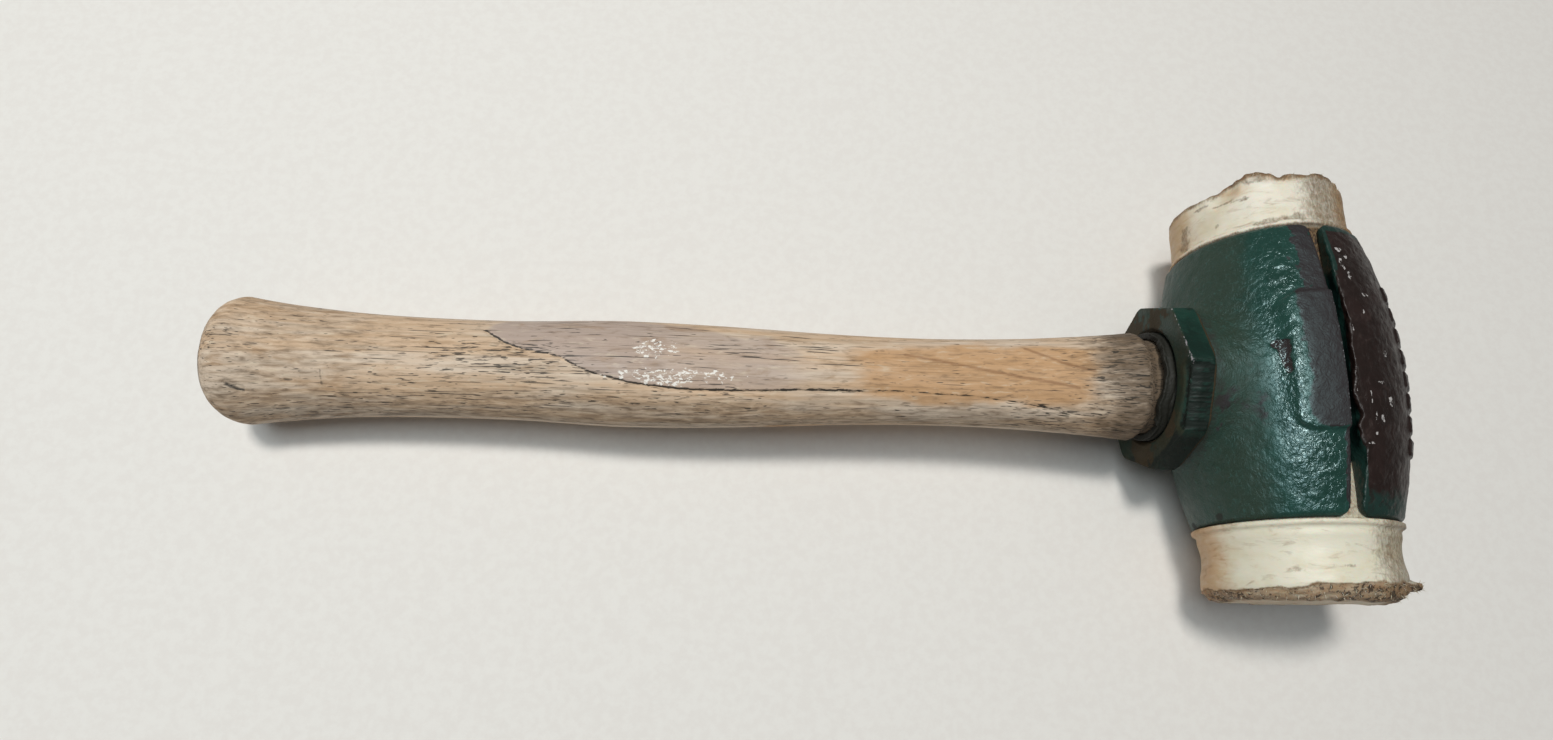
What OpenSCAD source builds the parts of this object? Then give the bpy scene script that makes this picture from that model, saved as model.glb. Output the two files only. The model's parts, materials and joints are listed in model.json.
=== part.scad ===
// Split head mallet, lying on its head and its butt: two half heads, drawn together by a nut
// on a hollow threaded stem, grip two nylon striking faces on a wedged wooden handle

/* [Half heads] */
// Radius of the iron rim round each striking face
rim_r = 26.5; // [26:0.1:28]
// Largest radius of the barrel, midway between the faces
belly_r = 32.1; // [31:0.1:34]
// Length of the iron head from rim to rim
head_len = 87; // [84:1:100]
// Chamfer on the rims
rim_chamfer = 0.8; // [0.4:0.1:1.2]
// Width of the split between the half heads
split_gap = 3.8; // [2.8:0.1:5]
// Radius of the corners at the ends of the split
split_corner_r = 3; // [1:0.5:4]
// Depth of the sockets that hold the faces
socket_depth = 16; // [12:0.5:18]
// Rise of the worn pad on the rear half
pad_rise = 1; // [0.5:0.1:1.4]
// Length of the pad along the head
pad_w = 40; // [30:1:44]
// Reach of the pad from the middle of the head towards the handle
pad_x = 14.5; // [12:0.5:16]
// Radius of the pad's corners
pad_corner_r = 5; // [2:0.5:6]

/* [Grip bars on the crown] */
// How many bars stand in each row
bar_count = 8; // [4:2:10]
// Spacing of the bars along the head
bar_pitch = 6.6; // [5:0.1:7]
// Width of a bar along the head
bar_w = 4.4; // [3:0.1:4.8]
// Length of a bar round the barrel
bar_len = 8.5; // [6:0.5:10]
// Rise of a bar above the barrel
bar_rise = 0.95; // [0.5:0.05:1.2]
// Angle of each row of bars from the handle's line
bar_angle = 41; // [38:1:46]

/* [Neck of the rear half] */
// Radius of the flat seat that the nut bears on
seat_r = 24; // [23:0.1:25]
// How far that seat stands out of the barrel
seat_stand = 0.6; // [0.3:0.1:2]
// Radius of the hollow curve from the seat into the barrel
neck_curve_r = 40; // [36:1:44]

/* [Hollow stem of the front half] */
// Radius over the thread
stem_r = 17; // [16.6:0.1:17.4]
// How far the stem stands out of the nut
stem_proud = 1.5; // [0.5:0.1:3]
// Pitch of the thread
thread_pitch = 2; // [1.5:0.5:2.5]
// Depth of the thread
thread_depth = 0.9; // [0.5:0.1:1.1]
// Radius of the bore at its mouth, where the handle goes in
mouth_r = 14.8; // [14.2:0.1:15.2]
// Radius of the bore at its waist
waist_r = 13.4; // [12.6:0.1:14]
// Radius of the bore at the crown
eye_r = 14.8; // [14.2:0.1:15.2]
// Distance of the bore's waist past the middle of the head
waist_x = 6; // [2:1:10]

/* [Nut] */
// Width of the eight-sided nut across its flats
nut_flats = 49; // [47:0.5:51]
// Thickness of the nut
nut_t = 7.5; // [6:0.5:9]
// Radius that the nut's rear edge is turned down to
nut_rear_r = 25.4; // [24.6:0.1:26]
// Chamfer on the corners of the nut's front face
nut_chamfer = 0.6; // [0.3:0.1:1]
// Depth of the countersink in the nut's front face
nut_sink = 1.2; // [0.5:0.1:1.4]

/* [Nylon faces] */
// Radius of the plug that each face has in its socket
plug_r = 24.5; // [24:0.1:24.6]
// Distance from the middle of the head to the end of the upper face
upper_end = 61.5; // [56:0.5:66]
// Radius of the lip that has spread over the upper rim
upper_lip_r = 25.7; // [25:0.1:26.4]
// Radius of the upper face beyond its lip
upper_r = 24.5; // [23.5:0.1:25]
// Rounding of the upper face's edge
upper_round_r = 2; // [1:0.5:4]
// Radius of the scoop broken out of the upper face's side
chip_r = 15; // [10:1:20]
// Depth of that scoop
chip_depth = 1.6; // [0.8:0.1:2.4]
// Distance of the scoop's middle from the end of the face
chip_drop = 1.5; // [0:0.5:3]
// Angle of the scoop's middle above the side towards the butt
chip_turn = 39; // [20:1:60]
// Distance from the middle of the head to the end of the lower face
lower_end = 65.5; // [60:0.5:68]
// Radius of the lip that has spread over the lower rim
lower_lip_r = 26.9; // [26:0.1:27.5]
// Radius of the lower face at its waist
lower_waist_r = 24.9; // [24:0.1:25.4]
// Radius of the lower face's spread end
lower_r = 25.7; // [25.5:0.1:26.4]
// Rounding of the lower face's edge
lower_round_r = 5; // [3:0.5:6]
// Thickness of each lip at the rim
lip_t = 1.6; // [1:0.1:2.5]

/* [Handle] */
// Distance from the middle of the head to the end of the butt
butt_end = 327; // [300:0.5:360]
// Radius of the rounded edge of the butt
butt_edge_r = 9; // [6:0.5:12]
// Width across the butt
butt_w = 39.2; // [36:0.1:41]
// Width of the waist ahead of the butt
grip_waist_w = 30.4; // [28:0.1:33]
// Width of the palm swell
swell_w = 32.6; // [31:0.1:36]
// Width of the thin neck
thin_w = 27; // [25:0.1:30]
// Width of the shoulder at the nut
shoulder_w = 33.4; // [31:0.1:34]
// Distance from the middle of the head to the waist
grip_waist_x = 242; // [230:1:260]
// Distance from the middle of the head to the palm swell
swell_x = 202; // [180:1:210]
// Distance from the middle of the head to the thin neck
thin_x = 110; // [100:1:130]
// Distance from the middle of the head to the shoulder
shoulder_x = 47; // [45:0.5:56]
// Depth of the handle as a share of its width
flatness = 0.85; // [0.8:0.01:0.95]

/* [Wedges] */
// Thickness of the wooden wedge at the crown
wood_wedge_t = 4.5; // [3:0.1:6]
// Depth of the wooden wedge
wood_wedge_len = 26; // [20:1:30]
// Thickness of each steel wedge at the crown
steel_wedge_t = 2.4; // [1.6:0.1:3]
// Width of each steel wedge
steel_wedge_w = 14; // [10:1:18]
// Depth of each steel wedge
steel_wedge_len = 16; // [12:1:20]
// Distance of each steel wedge from the handle's line
steel_wedge_y = 6.5; // [5:0.5:8]

/* [Fits] */
// Radial clearance of a plug in its socket
plug_fit = 0.08; // [0.05:0.01:0.1]
// Radial clearance of the stem in the nut and in the rear half
stem_fit = 0.05; // [0.03:0.01:0.1]
// Radial clearance of the tenon in the bore
tenon_fit = 0.12; // [0.08:0.01:0.2]
// Clearance of each wedge in its kerf
kerf_fit = 0.05; // [0.03:0.01:0.1]
// Clearance between faces that meet
seat_fit = 0.3; // [0.2:0.05:0.4]

/* [Hidden] */
$fn = 96;
far = 100;                      // longer than any cut needs
half_len = head_len / 2;
rise = belly_r - rim_r;
arc_r = (half_len * half_len + rise * rise) / (2 * rise);
socket_r = plug_r + plug_fit;
socket_floor = half_len - socket_depth;
neck_bite = 0.25;               // the neck's curve runs this far into the barrel
neck_reach = neck_curve_r + belly_r - neck_bite;
neck_x = sqrt(pow(neck_reach, 2) - pow(seat_r + neck_curve_r, 2));
neck_touch_x = neck_x * belly_r / (neck_curve_r + belly_r);
sliding_bore_r = stem_r + stem_fit;
seat_x = belly_r + seat_stand;
nut_rear_x = seat_x + seat_fit;
nut_front_x = nut_rear_x + nut_t;
nut_corner_r = nut_flats / 2 / cos(180 / 8);
stem_end_x = nut_front_x + stem_proud;
thread_count = floor((stem_end_x - split_gap) / thread_pitch / 3);
trim = 0.4;                     // the tenon and wedges end this far under the barrel's surface
butt_x = butt_end - butt_edge_r;
butt_face_w = butt_w - 2 * butt_edge_r;
rest_tilt = asin(belly_r / norm([butt_x, butt_w * flatness / 2]))
    - atan(butt_w * flatness / 2 / butt_x);
head_x = (butt_end - belly_r + trim) * cos(rest_tilt) / 2
    + butt_face_w * flatness * sin(rest_tilt) / 4;
head_y = (lower_end - upper_end) / 2;
sides = 28;                     // sides of the handle's section
section_power = 2.2;            // 2 is an ellipse, and more is squarer
flare_power = 2.8;              // how late the handle flares to the butt
shoulder_power = 1.95;          // how late it widens to the shoulder
edge_rings = 6;                 // rings round the butt's edge
body_rings = 28;                // rings from there to the shoulder
mouth_rings = 3;                // rings from the shoulder to the stem's mouth
mouth_step = 1;                 // from the stem's mouth to the tenon's first ring
wood_tip = 0.8;                 // thickness of the wooden wedge at its tip
steel_tip = 0.5;                // thickness of a steel wedge at its tip
spare = 1;                      // how far a cut or a wedge runs past what it meets
groove_slope = 0.55;            // half width of a thread's groove for its depth

// The whole mallet is drawn round the middle of its head and then laid down to rest
module lie_down() {
    translate([head_x, head_y, belly_r]) rotate([0, -rest_tilt, 0]) children();
}

// Turned about the line through both faces, or about the handle's line
module about_head() {
    rotate([-90, 0, 0]) rotate_extrude() children();
}

module about_handle() {
    rotate([0, -90, 0]) rotate_extrude() children();
}

// The barrel's curved outside, larger by grow
module barrel(grow = 0) {
    about_head() intersection() {
        translate([belly_r - arc_r, 0]) circle(arc_r + grow, $fn = 360);
        polygon([[0, -half_len], [rim_r - rim_chamfer, -half_len],
            [rim_r - rim_chamfer + half_len / 2, -half_len / 2],
            [rim_r - rim_chamfer + half_len / 2, half_len / 2],
            [rim_r - rim_chamfer, half_len], [0, half_len]]);
    }
}

// What one half head keeps: side is 1 towards the crown and -1 towards the handle
module half_space(side) {
    translate([side * (far / 2 + split_gap / 2), 0, 0]) cube([far, 2 * far, 2 * far], center = true);
}

// The material outside a rounded corner at one end of the split
module split_corner(side, end) {
    mirror([side < 0 ? 1 : 0, 0, 0]) mirror([0, end < 0 ? 1 : 0, 0])
        translate([split_gap / 2, half_len, -far / 2]) linear_extrude(far) difference() {
            translate([-spare, -split_corner_r])
                square([split_corner_r + spare, split_corner_r + spare]);
            translate([split_corner_r, -split_corner_r]) circle(split_corner_r);
        }
}

module sockets() {
    for (end = [-1, 1]) rotate([-90 * end, 0, 0]) translate([0, 0, socket_floor])
        cylinder(r = socket_r, h = far);
}

// A cylinder along the handle, from x0 to x1
module rod(r, x0, x1) {
    translate([x0, 0, 0]) rotate([0, 90, 0]) cylinder(r = r, h = x1 - x0);
}

module half_barrel(side) {
    difference() {
        intersection() {
            barrel();
            half_space(side);
        }
        for (end = [-1, 1]) split_corner(side, end);
    }
}

module bars() {
    intersection() {
        barrel(bar_rise);
        for (row = [-1, 1], i = [0 : bar_count - 1]) rotate([0, row * bar_angle, 0])
            translate([belly_r, (i - (bar_count - 1) / 2) * bar_pitch, 0])
                cube([belly_r / 2, bar_w, bar_len], center = true);
    }
}

// The handle's bore: widest at both ends, so that the wedged tenon can't draw out
module handle_bore(grow = 0) {
    translate([-stem_end_x, 0, 0]) rotate([0, 90, 0])
        cylinder(r1 = mouth_r + grow, r2 = waist_r + grow, h = stem_end_x + waist_x);
    translate([waist_x, 0, 0]) rotate([0, 90, 0])
        cylinder(r1 = waist_r + grow, r2 = waist_r + grow + (eye_r - waist_r) * (far - waist_x)
            / (belly_r - waist_x), h = far - waist_x);
}

module thread_rings() {
    half = (thread_depth + spare) * groove_slope;
    for (i = [0 : thread_count]) about_handle()
        translate([stem_r, stem_end_x - (i + 0.5) * thread_pitch])
            polygon([[-thread_depth, 0], [spare, half], [spare, -half]]);
}

module front_half() {
    color("dimgray") lie_down() difference() {
        union() {
            half_barrel(1);
            bars();
            rod(stem_r, -stem_end_x, split_gap);
        }
        sockets();
        handle_bore();
        thread_rings();
    }
}

// The flared neck between the barrel and the nut's seat
module neck() {
    about_handle() difference() {
        translate([0, neck_touch_x]) square([seat_r + neck_curve_r, seat_x - neck_touch_x]);
        translate([seat_r + neck_curve_r, neck_x]) circle(neck_curve_r, $fn = 360);
    }
}

module pad_outline() {
    straight = pad_x - pad_corner_r - split_gap / 2;
    for (end = [-1, 1]) translate([-pad_x + pad_corner_r, end * (pad_w / 2 - pad_corner_r)])
        circle(pad_corner_r);
    translate([-pad_x + pad_corner_r, -pad_w / 2]) square([straight, pad_w]);
    translate([-pad_x, -pad_w / 2 + pad_corner_r])
        square([pad_corner_r + spare, pad_w - 2 * pad_corner_r]);
}

module rear_half() {
    color("seagreen") lie_down() difference() {
        union() {
            half_barrel(-1);
            neck();
            intersection() {
                barrel(pad_rise);
                linear_extrude(far) pad_outline();
            }
        }
        sockets();
        rod(sliding_bore_r, -far, far);
    }
}

module clamp_nut() {
    turned_r = nut_corner_r - nut_chamfer;
    color("darkgreen") lie_down() difference() {
        intersection() {
            translate([-nut_front_x, 0, 0]) rotate([0, 90, 0])
                cylinder(r = nut_corner_r, h = nut_t, $fn = 8);
            about_handle() polygon([[0, nut_rear_x], [nut_rear_r, nut_rear_x],
                [nut_corner_r, nut_rear_x + nut_corner_r - nut_rear_r],
                [nut_corner_r, nut_front_x - nut_chamfer], [turned_r, nut_front_x],
                [0, nut_front_x]]);
        }
        rod(sliding_bore_r, -far, far);
        translate([-nut_front_x, 0, 0]) rotate([0, 90, 0])
            cylinder(r1 = sliding_bore_r + nut_sink, r2 = sliding_bore_r, h = nut_sink);
    }
}

// Half outline of a round-edged face: x is the radius, y runs from the socket's floor outwards
module face_outline(lip, body, end, edge) {
    root = socket_floor + seat_fit;
    rim = half_len + seat_fit;
    translate([0, root]) square([plug_r, end - edge - root]);
    translate([0, rim]) square([lip, lip_t]);
    translate([0, rim]) square([body, end - edge - rim]);
    translate([0, rim]) square([body - edge, end - rim]);
    translate([body - edge, end - edge]) circle(edge);
}

module upper_face() {
    color("ivory") lie_down() difference() {
        about_head() face_outline(upper_lip_r, upper_r, upper_end, upper_round_r);
        rotate([0, chip_turn, 0]) translate([chip_depth - chip_r - upper_r, upper_end - chip_drop, 0])
            sphere(chip_r);
    }
}

module lower_face() {
    hollow = lower_lip_r - lower_waist_r;
    reach = (lower_end - lower_round_r - half_len - lip_t) / 2;
    hollow_r = (reach * reach + hollow * hollow) / (2 * hollow);
    color("ivory") lie_down() mirror([0, 1, 0]) about_head() difference() {
        face_outline(lower_lip_r, lower_r, lower_end, lower_round_r);
        translate([lower_waist_r + hollow_r, half_len + lip_t + reach]) circle(hollow_r);
    }
}

// Half width of the handle at distance x from the middle of the head
function blend(a, b, t) = a + (b - a) * (1 - cos(180 * t)) / 2;
function grip_w(x) =
    x > butt_x ? butt_face_w + 2 * sqrt(max(0, pow(butt_edge_r, 2) - pow(x - butt_x, 2)))
    : x > grip_waist_x ? grip_waist_w
        + (butt_w - grip_waist_w) * pow((x - grip_waist_x) / (butt_x - grip_waist_x), flare_power)
    : x > swell_x ? blend(swell_w, grip_waist_w, (x - swell_x) / (grip_waist_x - swell_x))
    : x > thin_x ? blend(thin_w, swell_w, (x - thin_x) / (swell_x - thin_x))
    : x > shoulder_x ? thin_w
        + (shoulder_w - thin_w) * pow((thin_x - x) / (thin_x - shoulder_x), shoulder_power)
    : blend(2 * (mouth_r - tenon_fit - seat_fit), shoulder_w,
        max(0, (x - stem_end_x - seat_fit)) / (shoulder_x - stem_end_x - seat_fit));

// One ring of the handle: half width a, half depth b, and the power of its rounded square
function ring(x, a, b, p) = [for (i = [0 : sides - 1]) let (u = 360 * i / sides)
    [-x, a * sign(cos(u)) * pow(abs(cos(u)), 2 / p), b * sign(sin(u)) * pow(abs(sin(u)), 2 / p)]];
function grip_ring(x) = ring(x, grip_w(x) / 2, grip_w(x) * flatness / 2, section_power);

// Radius of the tenon at distance x from the middle of the head: it follows the bore
function tenon_r(x) = -tenon_fit + waist_r + (mouth_r - waist_r) * (x + waist_x) / (stem_end_x + waist_x);

tenon_eye_r = waist_r - tenon_fit + (eye_r - waist_r) * (far - waist_x) / (belly_r - waist_x);
grip_rings = [
    for (i = [0 : edge_rings - 1]) grip_ring(butt_x + butt_edge_r * cos(90 * i / edge_rings)),
    for (i = [0 : body_rings]) grip_ring(butt_x + (shoulder_x - butt_x) * i / body_rings),
    for (i = [1 : mouth_rings])
        grip_ring(shoulder_x + (stem_end_x + seat_fit - shoulder_x) * i / mouth_rings)];
tenon_rings = [
    ring(stem_end_x - mouth_step, tenon_r(stem_end_x - mouth_step),
        tenon_r(stem_end_x - mouth_step) * flatness, 2),
    ring(nut_rear_x, tenon_r(nut_rear_x), tenon_r(nut_rear_x), 2),
    ring(-waist_x, tenon_r(-waist_x), tenon_r(-waist_x), 2),
    ring(-far, tenon_eye_r, tenon_eye_r, 2)];
rings = concat(grip_rings, tenon_rings);

// A closed solid through a list of rings
module loft(rings) {
    n = len(rings[0]);
    last = len(rings) - 1;
    walls = [for (k = [0 : last - 1], i = [0 : n - 1])
        let (j = (i + 1) % n) [k * n + i, k * n + j, (k + 1) * n + j, (k + 1) * n + i]];
    ends = [[for (i = [n - 1 : -1 : 0]) i], [for (i = [0 : n - 1]) last * n + i]];
    polyhedron([for (r = rings, p = r) p], concat(walls, ends), convexity = 4);
}

// A wedge that points towards the butt: thickness t at the crown, width w, depth d
module wedge(t, w, d, tip, grow = 0) {
    slope = (t - tip) / 2 / d;
    rotate([90, 0, 0]) translate([0, 0, -w / 2]) linear_extrude(w) polygon([
        [belly_r - d - grow, -tip / 2 - grow], [belly_r + spare, -t / 2 - slope * spare - grow],
        [belly_r + spare, t / 2 + slope * spare + grow], [belly_r - d - grow, tip / 2 + grow]]);
}

module wood_wedge_body(grow = 0) {
    wedge(wood_wedge_t, 2 * belly_r, wood_wedge_len, wood_tip, grow);
}

module steel_wedge_body(side, grow = 0) {
    translate([0, side * steel_wedge_y, 0]) rotate([90, 0, 0])
        wedge(steel_wedge_t, steel_wedge_w + 2 * grow, steel_wedge_len, steel_tip, grow);
}

// All that stands past the crown, where the tenon and the wedges are dressed flush
module past_crown() {
    difference() {
        translate([waist_x, -far / 2, -far / 2]) cube([far, far, far]);
        barrel(-trim);
    }
}

module handle() {
    color("tan") lie_down() difference() {
        loft(rings);
        past_crown();
        wood_wedge_body(kerf_fit);
        for (side = [-1, 1]) steel_wedge_body(side, kerf_fit);
    }
}

module wood_wedge() {
    color("burlywood") lie_down() difference() {
        intersection() {
            wood_wedge_body();
            handle_bore(-tenon_fit);
        }
        past_crown();
        for (side = [-1, 1]) steel_wedge_body(side, kerf_fit);
    }
}

module steel_wedge(side) {
    color("silver") lie_down() difference() {
        steel_wedge_body(side);
        past_crown();
    }
}

handle();
front_half();
rear_half();
clamp_nut();
upper_face();
lower_face();
wood_wedge();
steel_wedge(-1);  // steel_wedge_a
steel_wedge(1);  // steel_wedge_b
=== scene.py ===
import json
import math

import bpy
import numpy as np
from mathutils import Euler, Matrix, Vector


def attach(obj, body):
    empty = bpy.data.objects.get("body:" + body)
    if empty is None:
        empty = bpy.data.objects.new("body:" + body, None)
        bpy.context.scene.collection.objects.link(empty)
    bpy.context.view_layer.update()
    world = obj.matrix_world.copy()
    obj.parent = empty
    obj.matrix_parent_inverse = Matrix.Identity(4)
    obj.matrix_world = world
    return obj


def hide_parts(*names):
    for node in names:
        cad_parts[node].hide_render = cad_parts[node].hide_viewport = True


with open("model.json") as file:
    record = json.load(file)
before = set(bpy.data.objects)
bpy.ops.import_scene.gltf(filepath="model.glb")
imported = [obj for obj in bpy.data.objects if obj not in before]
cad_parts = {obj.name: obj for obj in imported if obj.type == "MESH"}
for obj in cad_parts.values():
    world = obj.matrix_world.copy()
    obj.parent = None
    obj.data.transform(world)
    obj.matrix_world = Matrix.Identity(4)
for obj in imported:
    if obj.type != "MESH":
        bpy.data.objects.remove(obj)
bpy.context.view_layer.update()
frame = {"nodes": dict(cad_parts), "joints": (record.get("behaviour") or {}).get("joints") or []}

# Split head mallet: a wedged ash handle, two painted iron half heads, a nut and two nylon faces.
# Each piece is worked in the mallet's own frame, in mm: origin at the middle of the head, X along
# the handle to the crown, Y along the head to the upper face. It is then laid down to rest.
mm = 0.001
nutTurn = next(joint for joint in frame["joints"] if joint["name"] == "nut_turn")
restTilt = math.atan2(-nutTurn["axis"][2], -nutTurn["axis"][0])
layDown = Matrix.Translation(nutTurn["pos_m"]) @ Matrix.Rotation(-restTilt, 4, "Y")

mallet = {  # real sizes in mm, as the solids have them
    "bellyR": 32.1, "rimR": 26.5, "halfLen": 43.5, "splitHalf": 1.9, "plugR": 24.5,
    "upperEnd": 61.5, "lowerEnd": 65.5, "lowerR": 25.7, "seatX": 32.7, "nutFrontX": 40.5,
}


def linear(hexColour):
    parts = [int(hexColour[i:i + 2], 16) / 255 for i in (1, 3, 5)]
    return tuple(c / 12.92 if c <= 0.04045 else ((c + 0.055) / 1.055) ** 2.4 for c in parts) + (1.0,)


# Seeded noise on points in mm, smooth from lattice point to lattice point, in 0..1
def latticeNoise(points, size, seed):
    p = points / size
    base = np.floor(p).astype(np.int64)
    f = p - base
    f = f * f * (3 - 2 * f)
    total = np.zeros(len(points))
    for corner in range(8):
        offset = np.array([corner & 1, corner >> 1 & 1, corner >> 2 & 1])
        k = (base + offset) @ np.array([374761393, 668265263, 2147483647]) + seed * 974634777
        k = (k ^ (k >> 13)) * 1274126177
        value = ((k ^ (k >> 16)) & 0xFFFF) / 65535
        weight = np.prod(np.where(offset, f, 1 - f), axis=1)
        total += value * weight
    return total


def layeredNoise(points, size, seed, layers=3):
    total = sum(latticeNoise(points, size / 2 ** i, seed + i) / 2 ** i for i in range(layers))
    return total / sum(1 / 2 ** i for i in range(layers))


def ramp(values, low, high):
    t = np.clip((values - low) / (high - low), 0, 1)
    return t * t * (3 - 2 * t)


# Spots with ragged edges: each is a centre and a half size along x, y and z
def spots(p, places, seed, wander=0.6, softness=0.25):
    ragged = (layeredNoise(p, 2.5, seed) - 0.5) * 2 * wander
    total = np.zeros(len(p))
    for x, y, z, sizeX, sizeY, sizeZ in places:
        reach = np.linalg.norm((p - [x, y, z]) / [sizeX, sizeY, sizeZ], axis=1)
        total = np.maximum(total, ramp(reach + ragged, 0.95 + softness, 0.95 - softness))
    return total


# Distance in mm from a line drawn over the top of a piece, through points in x and y
def fromLine(p, line):
    nearest = np.full(len(p), 99.0)
    for start, end in zip(np.array(line[:-1]), np.array(line[1:])):
        step = end - start
        along = np.clip(((p[:, :2] - start) @ step) / (step @ step), 0, 1)
        nearest = np.minimum(nearest, np.linalg.norm(p[:, :2] - start - along[:, None] * step, axis=1))
    return np.where(p[:, 2] > 0, nearest, 99.0)


# 1 on a line and falling to 0 at 3 mm from it, for a material to cut a thin line out of
def nearLine(p, line):
    return np.clip(1 - fromLine(p, line) / 3, 0, 1)


# Radius from the line through both faces, radius from the handle's line, and degrees round the
# head: 0 towards the crown, 90 up, 180 towards the butt
def headRadius(p):
    return np.hypot(p[:, 0], p[:, 2])


def handleRadius(p):
    return np.hypot(p[:, 1], p[:, 2])


def headAngle(p):
    return np.degrees(np.arctan2(p[:, 2], p[:, 0])) % 360


def barrelRadius(y):
    rise = mallet["bellyR"] - mallet["rimR"]
    arcR = (mallet["halfLen"] ** 2 + rise ** 2) / (2 * rise)
    return mallet["bellyR"] - arcR + np.sqrt(np.maximum(arcR ** 2 - y ** 2, 0))


# Points and normals of a mesh as arrays, points in mm
def readPoints(mesh):
    co = np.empty(len(mesh.vertices) * 3)
    mesh.vertices.foreach_get("co", co)
    return co.reshape(-1, 3) / mm


def readNormals(mesh):
    n = np.empty(len(mesh.vertices) * 3)
    mesh.vertex_normals.foreach_get("vector", n)
    return n.reshape(-1, 3)


def writePoints(mesh, points):
    mesh.vertices.foreach_set("co", (points * mm).ravel())
    mesh.update()


def paint(mesh, masks):
    for name, values in masks.items():
        layer = mesh.attributes.new(name, "FLOAT", "POINT")
        layer.data.foreach_set("value", np.clip(values, 0, 1).astype(np.float32))


def addObject(name, mesh):
    piece = bpy.data.objects.new(name, mesh)
    bpy.context.scene.collection.objects.link(piece)
    return piece


# Bakes a piece's modifiers into its mesh
def settle(piece):
    piece.data = bpy.data.meshes.new_from_object(piece.evaluated_get(bpy.context.evaluated_depsgraph_get()))
    piece.modifiers.clear()


# A fine copy of a solid, with its edges softened as a casting's or a moulding's are
def fineCopy(node, name, look):
    mesh = frame["nodes"][node].data.copy()
    mesh.materials.clear()
    mesh.transform(layDown.inverted())
    piece = addObject(name, mesh)
    remesh = piece.modifiers.new("fine", "REMESH")
    remesh.mode = "VOXEL"
    remesh.voxel_size = look["voxel"] * mm
    soften = piece.modifiers.new("soften", "SMOOTH")
    soften.factor = 0.5
    soften.iterations = look["softening"]
    settle(piece)
    return piece


# Fillets the parts of a piece that have weight, by many rounds of smoothing
def relax(piece, weights, rounds):
    group = piece.vertex_groups.new(name="relaxed")
    levels = np.round(weights * 10).astype(int)
    for level in range(1, 11):
        group.add(np.flatnonzero(levels == level).tolist(), level / 10, "REPLACE")
    flow = piece.modifiers.new("flow", "SMOOTH")
    flow.factor = 0.5
    flow.iterations = rounds
    flow.vertex_group = "relaxed"
    settle(piece)
    piece.vertex_groups.clear()


def finishPiece(piece, material, body, node):
    mesh = piece.data
    mesh.materials.clear()
    mesh.materials.append(material)
    mesh.polygons.foreach_set("use_smooth", [True] * len(mesh.polygons))
    mesh.transform(layDown)
    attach(piece, body)
    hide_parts(node)
    print("made", piece.name, len(mesh.vertices))


# Adds a node with its settings, and links its inputs from sockets or from nodes' first outputs
def addNode(tree, kind, settings=None, links=None):
    node = tree.nodes.new(kind)
    for key, value in (settings or {}).items():
        if isinstance(key, int) or key in node.inputs:
            node.inputs[key].default_value = value
        else:
            setattr(node, key, value)
    for key, source in (links or {}).items():
        socket = source if isinstance(source, bpy.types.NodeSocket) else source.outputs[0]
        tree.links.new(socket, node.inputs[key])
    return node


# An empty material with its shader, the place in the mallet's own frame, and the painted masks
def newMaterial(name, masks=()):
    material = bpy.data.materials.new(name)
    material.use_nodes = True
    tree = material.node_tree
    tree.nodes.clear()
    shader = addNode(tree, "ShaderNodeBsdfPrincipled")
    addNode(tree, "ShaderNodeOutputMaterial", {"location": (400, 0)}, {"Surface": shader})
    upright = layDown.inverted()
    place = addNode(tree, "ShaderNodeMapping", {"Location": upright.to_translation(),
                    "Rotation": upright.to_euler()}, {"Vector": addNode(tree, "ShaderNodeTexCoord").outputs["Object"]})
    painted = {mask: addNode(tree, "ShaderNodeAttribute", {"attribute_name": mask}).outputs["Fac"]
               for mask in masks}
    return material, tree, shader, place, painted


# Noise patterns by name: the size of the grain in mm along x, y and z, its detail and its curl
def addPatterns(tree, place, patterns):
    made = {}
    for name, (sizes, detail, curl) in patterns.items():
        scaled = addNode(tree, "ShaderNodeMapping", {"Scale": [1 / (size * mm) for size in sizes]},
                         {"Vector": place})
        made[name] = addNode(tree, "ShaderNodeTexNoise", {"Scale": 1.0, "Detail": detail,
                             "Roughness": 0.6, "Distortion": curl}, {"Vector": scaled})
    return made


# Lays colours over a colour. Each comes in where its pattern times its weight, plus its mask if it
# has one, runs from low to high, and covers at most its share
def layOver(tree, colour, layers):
    for mask, pattern, weight, low, high, share, hexColour in layers:
        links = {0: pattern, 2: mask} if mask else {0: pattern}
        total = addNode(tree, "ShaderNodeMath", {"operation": "MULTIPLY_ADD", 1: weight, 2: 0.0}, links)
        cover = addNode(tree, "ShaderNodeMapRange", {"interpolation_type": "SMOOTHSTEP", "From Min": low,
                        "From Max": high, "To Max": share}, {"Value": total})
        colour = addNode(tree, "ShaderNodeMix", {"data_type": "RGBA", 7: linear(hexColour)},
                         {0: cover, 6: colour}).outputs[2]
    return colour


# Links colour, roughness and bumps to the shader. Roughness runs over a pattern and grows by an
# amount where a mask is; each bump is a height, its strength and its depth in mm
def dress(tree, shader, colour, rough, rougher, bumps):
    pattern, least, most = rough
    tree.links.new(colour, shader.inputs["Base Color"])
    level = addNode(tree, "ShaderNodeMapRange", {"From Min": 0.3, "From Max": 0.7, "To Min": least,
                    "To Max": most}, {"Value": pattern})
    for mask, amount in rougher:
        level = addNode(tree, "ShaderNodeMath", {"operation": "MULTIPLY_ADD", 1: amount},
                        {0: mask, 2: level})
    tree.links.new(level.outputs[0], shader.inputs["Roughness"])
    normal = None
    for height, strength, depth in bumps:
        links = {"Height": height, "Normal": normal} if normal else {"Height": height}
        normal = addNode(tree, "ShaderNodeBump", {"Strength": strength, "Distance": depth * mm}, links)
    tree.links.new(normal.outputs[0], shader.inputs["Normal"])


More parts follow.
